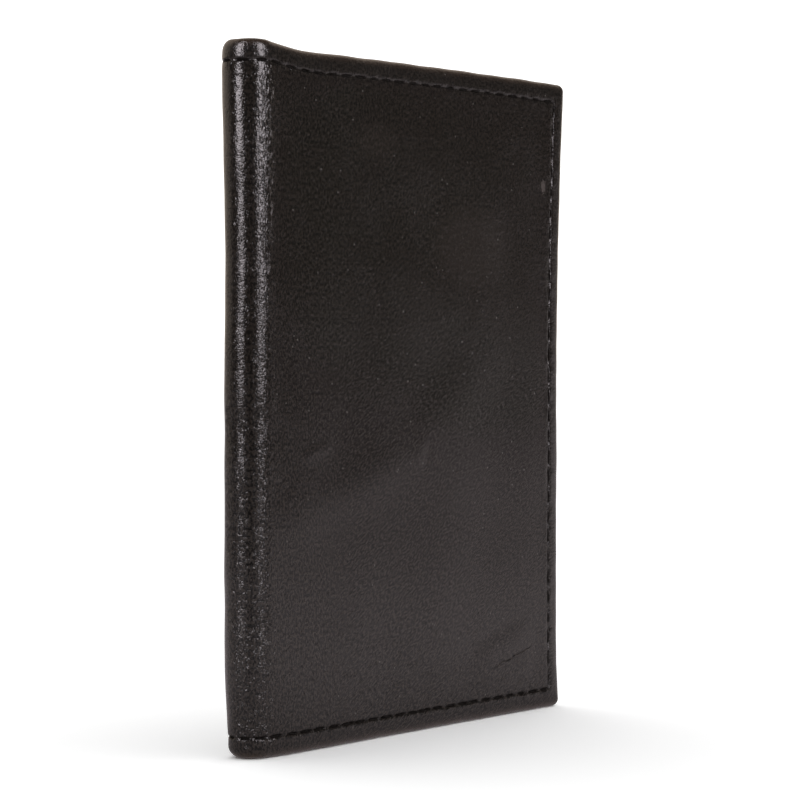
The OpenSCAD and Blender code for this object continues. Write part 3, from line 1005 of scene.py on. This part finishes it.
def flatLayer(name, side, node, slotName):
    piece = placedObject(name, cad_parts[node].data.copy())
    piece.data.name = name

    def mend():
        bpy.ops.mesh.remove_doubles(threshold=flatLayers["merge"] * mm)
        bpy.ops.mesh.dissolve_limited(angle_limit=math.radians(flatLayers["dissolveBelow"]))

    inEdit(piece, mend)
    applied(piece, "BEVEL", width=flatLayers["bevel"][slotName] * mm, segments=flatLayers["bevelSteps"],
            limit_method="ANGLE", angle_limit=math.radians(flatLayers["bevelAbove"]), use_clamp_overlap=True)
    points = readVertices(piece)
    low, high = points.min(0), points.max(0)

    def cutUp():
        for axis in (0, 2):
            count = round((high[axis] - low[axis]) / (flatLayers["cut"] * mm))
            facing = [0, 0, 0]
            facing[axis] = 1
            for step in range(1, count):
                spot = [0, 0, 0]
                spot[axis] = low[axis] + (high[axis] - low[axis]) * step / count
                bpy.ops.mesh.select_all(action="SELECT")
                bpy.ops.mesh.bisect(plane_co=spot, plane_no=facing)

    inEdit(piece, cutUp)
    x, y, z = readVertices(piece).T / mm
    s = x - foldX + foldHalf
    moveVertices(piece, place(side, s, z, foldRadius - np.abs(y)))
    setLay(piece, side * s, z)
    complete(piece, side, slotName, [node], flatLayers["smoothBelow"], bends=False)


print("laying the lining, the boards and the windows")
liningEnd = foldHalf + boxOf("front_lining")[1][0] - foldX
stiffenerEnd = foldRadius * math.pi / 4
for side in (front, back):
    word = sideNames[side]
    foldedLayer(word + "_lining_cloth", side, ["spine_lining", word + "_lining"], depthOf("front_lining"),
                liningEnd, foldedLayers["liningThickness"], "lining")
    foldedLayer(word + "_spine_stiffener", side, ["spine_reinforcement"], depthOf("front_stiffener_board"),
                stiffenerEnd, thicknessOf("front_stiffener_board"), "board")
    flatLayer(word + "_board", side, word + "_stiffener_board", "board")
    flatLayer(word + "_clear_sheet", side, word + "_window_sheet", "window")
    flatLayer(word + "_frame", side, word + "_window_frame", "frame_leather")

# Thread. Each stitch is a grain of rice whose ends dive into the needle holes.
threadShape = {
    "radius": 0.155,
    "length": 0.86,  # share of the way from hole to hole
    "lengthSpread": (0.84, 1.04),  # and how much it varies
    "dive": 0.3,
    "slant": 0.1,
    "slantSpread": (0.5, 1.4),
    "shift": 0.1,  # how far a stitch may lie off its place, along the row, beside it and in depth
    "shiftBeside": 0.06,
    "depthSpread": (-0.02, 0.12),
    "fullness": 0.2,  # above 0 the grain is fuller near its ends than a ball
    "tip": 0.02,  # keeps that within bounds at the very ends
    "apart": 3,  # distance between the copies before they are laid in their places
    "sides": 8,
    "rings": 7,
    "smoothBelow": 80,
    "outerDepth": 0.26,
    "frameDepth": 3.4,
    "hemDepth": hemFace + 0.25,
}


def sewn(name, side, rows, depth, nodes, seed, outside=False, bends=False):
    # rows of needle holes, and the depth of the thread's middle
    shape = threadShape
    stitches = [(row[k], row[k + 1]) for row in rows for k in range(len(row) - 1)]
    clearSelection()
    bpy.ops.mesh.primitive_uv_sphere_add(segments=shape["sides"], ring_count=shape["rings"], radius=1)
    piece = bpy.context.object
    piece.name = piece.data.name = name
    grain = readVertices(piece)
    applied(piece, "ARRAY", count=len(stitches), use_relative_offset=False, use_constant_offset=True,
            constant_offset_displace=(0, 0, shape["apart"]))
    across, under, along = grain.T
    fuller = (1 - along ** 2).clip(shape["tip"]) ** -shape["fullness"]
    around = np.arctan2(under, across)
    draw = np.random.default_rng(seed)
    places, lays = [], []
    facing = 1 if outside else -1
    for count, (first, last) in enumerate(stitches):
        run = last - first
        length = float(np.linalg.norm(run))
        run = run / length
        beside = np.array([-run[1], run[0]])
        half = length / 2 * shape["length"] * draw.uniform(*shape["lengthSpread"])
        middle = ((first + last) / 2 + run * draw.uniform(-shape["shift"], shape["shift"])
                  + beside * draw.uniform(-shape["shiftBeside"], shape["shiftBeside"]))
        slant = shape["slant"] * draw.uniform(*shape["slantSpread"])
        offset = across * fuller * shape["radius"] - slant * along
        flat = middle + np.outer(along * half, run) + np.outer(offset, beside)
        dive = shape["dive"] * np.abs(along) ** 3 - under * fuller * shape["radius"]
        deep = depth + facing * (dive + draw.uniform(*shape["depthSpread"]))
        places.append(place(side, flat[:, 0], flat[:, 1], deep))
        lays.append(np.stack([along * half + count * length, around, np.zeros(len(along))], 1))
    moveVertices(piece, np.concatenate(places))
    setLay(piece, *np.concatenate(lays).T)

    def faceOut():
        bpy.ops.mesh.normals_make_consistent(inside=False)

    inEdit(piece, faceOut)
    complete(piece, side, "thread", nodes, shape["smoothBelow"], bends)


print("sewing the seams")
mouth = foldHalf + boxOf("front_window_frame")[0][0] - foldX
innerRows = rowsRound(mouth, seams["inset"], seamEnd, seamTop)[:3]
windowLow, windowHigh = (np.array([corner[0] - foldX + foldHalf, corner[2]])
                         for corner in boxOf("front_window_stitching"))
windowRows = rowsRound(*(windowLow + threadShape["radius"]), *(windowHigh - threadShape["radius"]))
pocketAlong = mouth + seams["windowInset"]
notchRadius = 7.0
middleHeight = coverHeight / 2
notchEnd = notchRadius + threadShape["radius"]
halfPitch = seams["pitch"] / 2
pocketRows = [
    needleRow((pocketAlong, seams["inset"] + halfPitch), (pocketAlong, middleHeight - notchEnd)),
    needleRow((pocketAlong, middleHeight + notchEnd), (pocketAlong, seamTop - halfPitch)),
]
outerDepth, frameDepth, hemDepth = (threadShape[key] for key in ("outerDepth", "frameDepth", "hemDepth"))
for side in (front, back):
    word = sideNames[side]
    edge, window, pocket = (word + "_" + part + "_stitching" for part in ("edge", "window", "pocket"))
    sewn(word + "_edge_thread", side, foldRows + coverRows, outerDepth, [edge, "spine_stitching"],
         seed=21, outside=True, bends=True)
    sewn(word + "_fold_thread", side, foldRows, hemDepth, ["spine_stitching"], seed=22, bends=True)
    sewn(word + "_inner_thread", side, innerRows, frameDepth, [edge], seed=23)
    sewn(word + "_window_thread", side, windowRows, frameDepth, [window], seed=24)
    sewn(word + "_pocket_thread", side, pocketRows, frameDepth, [pocket], seed=25)

# The studio: a pale floor and a pale backdrop behind the holder, two tall soft lamps that only the
# gloss shows, and a dark room in front, whose reflection leaves the leather black
studio = {
    "floorSize": 12.0,  # metres
    "floorColour": 0.84,
    "floorSeen": 1.28,  # for the camera the paper is plain white where nothing shades it
    "mirroredFloor": 0.6,  # brightness of the floor in the leather
    "mirroredTint": (1.0, 0.895, 0.92),
    "shadeHeading": (-0.8, -0.6, 0.0),  # the camera and its stand shade the floor in front of it
    "shade": 0.1,
    "shadeFrom": (0.05, 0.35),
    "shadeSpread": (0.12, 0.34),
    "shadeLeast": 0.001,
    # past the first length the mirrored floor fades, to the last value at the second length
    "farFloor": (0.2, 0.75, 0.12),
    "contactShadow": (0.0, 0.05, 0.5),  # and a painted shadow makes it darker right beside the holder
    "floorTurn": (0.46, 0.68),  # towards the wing the mirrored floor fades less
    "skyFront": 0.5,  # brightness of the soft light in front, and behind
    "skyBack": 1.4,
    "skyHeading": (0.95, 0.3, 0.0),
    "skyReach": (-0.8, 0.8),
    "darkRoom": 0.06,
    "roomColour": (1.0, 0.9, 0.82),
    "backdrop": 0.7,
    "backdropColour": (1.0, 0.85, 0.72),
    "backdropHeading": (0.5, 0.866, 0.0),
    "backdropReach": (0.2, 0.6),
    "wing": 0.3,  # a low pale wing of the backdrop, on the right
    "wingHeading": (0.94, 0.342, 0.0),
    "wingReach": (0.45, 0.9),
    "wingTop": (-0.02, 0.075),  # sine of the height at which it ends
}
lampTint = (1.0, 0.925, 0.97)
lamps = {
    # direction from the holder in degrees from +X, distance, height of the lower edge, width and height
    # in metres, and how bright its face is
    "fold_lamp": {"heading": 175.0, "distance": 0.62, "foot": 0.1, "width": 0.25, "height": 0.9,
                  "glow": 10.5},
    "cover_lamp": {"heading": 267.0, "distance": 0.62, "foot": 0.1, "width": 0.36, "height": 0.9,
                   "glow": 8.5},
}
photoCamera = {
    "lens": 130.1,
    "sensor": 36.0,
    "nearest": 0.01,
    "place": (-0.3574, -0.2623, 0.0603),  # metres
    "forward": (0.8064, 0.591, -0.0216),
}


def layFloor():
    clearSelection()
    bpy.ops.mesh.primitive_plane_add(size=studio["floorSize"])
    floor = bpy.context.object
    floor.name = "floor"
    material = bpy.data.materials.new("floor_paper")
    finish = emptied(material)
    where = finish.node("ShaderNodeTexCoord", None, None, "Object")
    heading = Vector(studio["shadeHeading"])
    foot = finish.vector("SUBTRACT", where, (foldX * mm, 0, 0))
    ahead = finish.towards(foot, heading)
    aside = finish.towards(foot, heading.cross((0, 0, 1)))
    inShade = (abs(aside) / ahead.largest(studio["shadeLeast"])).between(*studio["shadeSpread"], 1.0, 0.0)
    shaded = inShade * ahead.between(*studio["shadeFrom"])
    # the holder's shadow, painted into the floor as the leather mirrors it
    x, y, _ = finish.split(where)
    besideX = (abs(x) - cadBounds[1][0]).largest(0)
    besideY = (abs(y) - cadBounds[1][1]).largest(0)
    beside = (besideX * besideX + besideY * besideY) ** 0.5
    nearStart, nearEnd, nearShare = studio["contactShadow"]
    farStart, farEnd, farShare = studio["farFloor"]
    towardsWing = finish.towards(finish.vector("NORMALIZE", where), studio["wingHeading"])
    kept = towardsWing.between(*studio["floorTurn"], farShare, 1.0)
    away = finish.vector("LENGTH", where, output="Value")
    mirrored = ((1 - shaded * (1 - studio["shade"])) * studio["mirroredFloor"]
                * away.between(farStart, farEnd, 1.0, kept)
                * beside.between(nearStart, nearEnd, nearShare, 1.0))
    paperColour = finish.blendOf(finish.rayIs("Is Camera Ray"), opaque([studio["floorColour"]] * 3),
                                 opaque([studio["floorSeen"]] * 3))
    paper = finish.node("ShaderNodeBsdfDiffuse", None, {"Color": paperColour})
    glow = finish.node("ShaderNodeEmission", None,
                       {"Color": opaque(studio["mirroredTint"]), "Strength": mirrored})
    mixed = finish.node("ShaderNodeMixShader", None, {0: finish.rayIs("Is Glossy Ray"), 1: paper, 2: glow})
    finish.node("ShaderNodeOutputMaterial", None, {"Surface": mixed}, None)
    floor.data.materials.append(material)


def lightRoom():
    world = bpy.data.worlds.new("studio_room")
    bpy.context.scene.world = world
    finish = emptied(world)
    direction = finish.node("ShaderNodeTexCoord", None, None, "Generated")
    behind = finish.towards(direction, studio["backdropHeading"]).between(*studio["backdropReach"])
    wing = (finish.towards(direction, studio["wingHeading"]).between(*studio["wingReach"])
            * finish.split(direction)[2].between(*studio["wingTop"], 1.0, 0.0))
    camera = finish.rayIs("Is Camera Ray")
    mirrored = finish.rayIs("Is Glossy Ray").largest(finish.rayIs("Is Transmission Ray"))
    towardsSky = finish.towards(direction, studio["skyHeading"])
    sky = towardsSky.between(*studio["skyReach"], studio["skyFront"], studio["skyBack"])
    lit = behind.between(0, 1, studio["darkRoom"], studio["backdrop"]) + wing * studio["wing"]
    room = mirrored * lit + (1 - mirrored) * sky
    roomColour = finish.blendOf(behind, opaque(studio["roomColour"]), opaque(studio["backdropColour"]))
    colour = finish.blendOf(mirrored, opaque((1, 1, 1)), roomColour)
    glow = finish.node("ShaderNodeBackground", None, {"Color": colour, "Strength": camera.largest(room)})
    finish.node("ShaderNodeOutputWorld", None, {"Surface": glow}, None)


def hangLamp(name, lamp):
    light = bpy.data.lights.new(name, "AREA")
    light.shape = "RECTANGLE"
    light.color = lampTint
    light.size = lamp["width"]
    light.size_y = lamp["height"]
    light.energy = lamp["glow"] * math.pi * lamp["width"] * lamp["height"]
    hung = placedObject(name, light)
    heading = math.radians(lamp["heading"])
    hung.location = (lamp["distance"] * math.cos(heading), lamp["distance"] * math.sin(heading),
                     lamp["foot"] + lamp["height"] / 2)
    inwards = Vector((-math.cos(heading), -math.sin(heading), 0))
    hung.rotation_euler = inwards.to_track_quat("-Z", "Y").to_euler()
    hung.visible_camera = False
    hung.visible_diffuse = False


def setCamera():
    data = bpy.data.cameras.new("photo_camera")
    data.lens = photoCamera["lens"]
    data.sensor_width = photoCamera["sensor"]
    data.clip_start = photoCamera["nearest"]
    camera = placedObject("photo_camera", data)
    camera.location = photoCamera["place"]
    camera.rotation_euler = Vector(photoCamera["forward"]).to_track_quat("-Z", "Y").to_euler()
    bpy.context.scene.camera = camera


print("setting up the studio")
layFloor()
lightRoom()
for name, lamp in lamps.items():
    hangLamp(name, lamp)
setCamera()
bpy.context.scene.view_settings.view_transform = "Standard"
